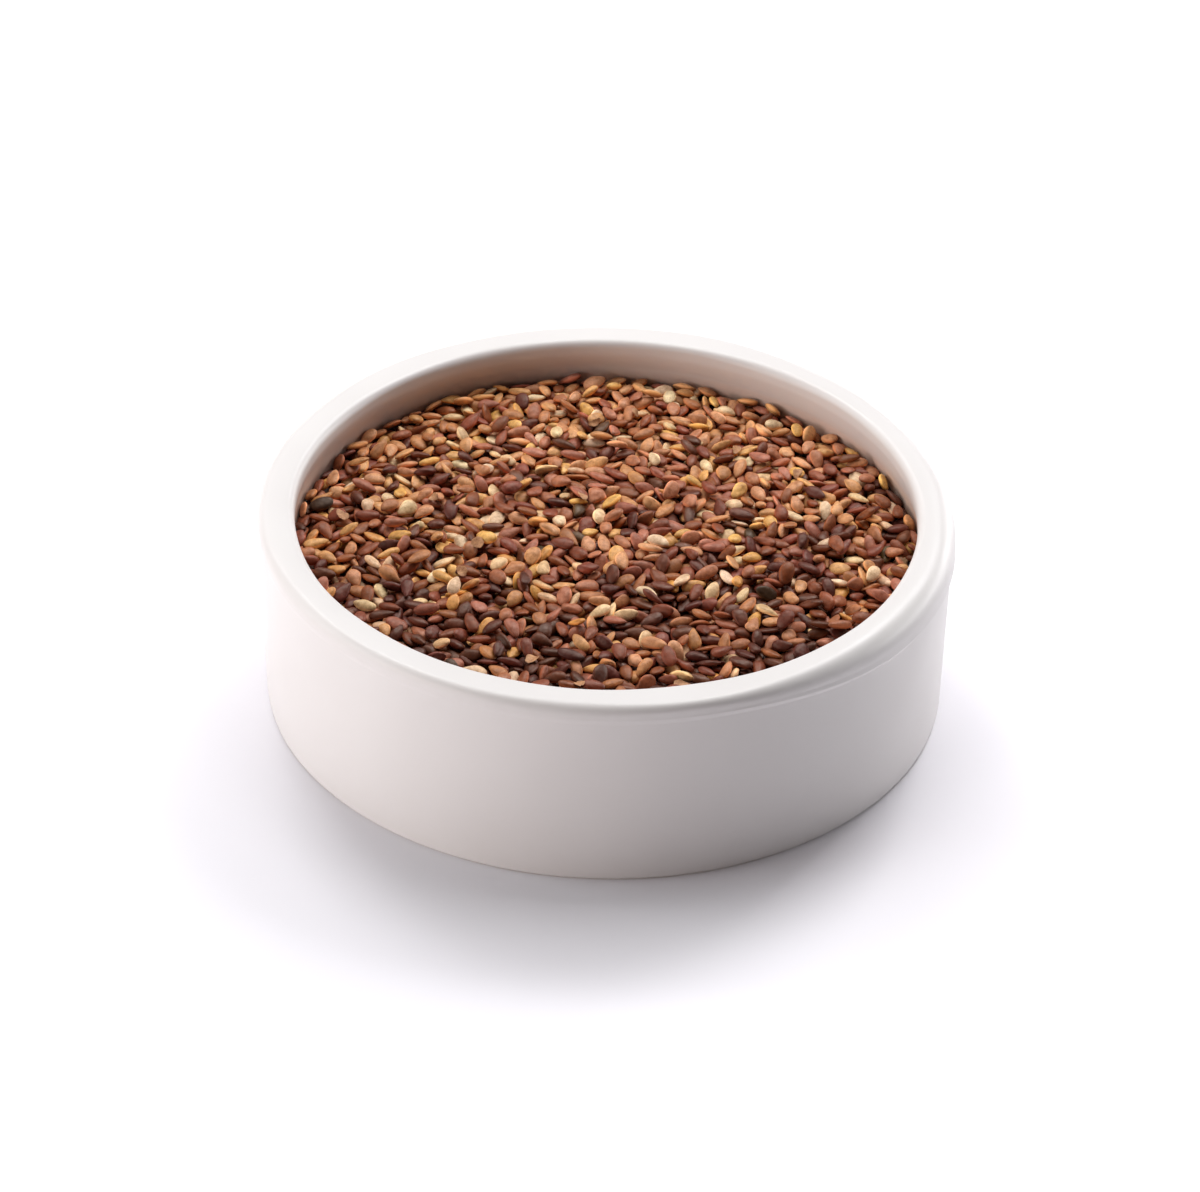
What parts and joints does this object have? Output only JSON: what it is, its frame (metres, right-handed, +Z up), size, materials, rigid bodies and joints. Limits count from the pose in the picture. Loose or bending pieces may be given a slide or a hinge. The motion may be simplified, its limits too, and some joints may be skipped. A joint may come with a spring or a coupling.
{
  "type": "dish of mixed sesame seeds",
  "caption": "Small round white glazed ceramic dish with thick straight walls, filled to just below the rim with mixed brown, tan and cream sesame seeds.",
  "frame": {"origin": "middle of the underside, on the surface that the dish stands on", "axes": "+Z up through the mouth of the dish; the dish is round, so +X and +Y are any two directions across it"},
  "size_m": [0.09, 0.09, 0.0267],
  "materials": {
    "glaze": "smooth off-white glaze with a soft gloss",
    "seeds": "smooth satin seed coats, mostly red-brown, mixed with dark brown, tan, golden and cream"
  },
  "bodies": {
    "root": {"dish": "glaze", "sesame_seeds": "seeds"}
  },
  "joints": []
}
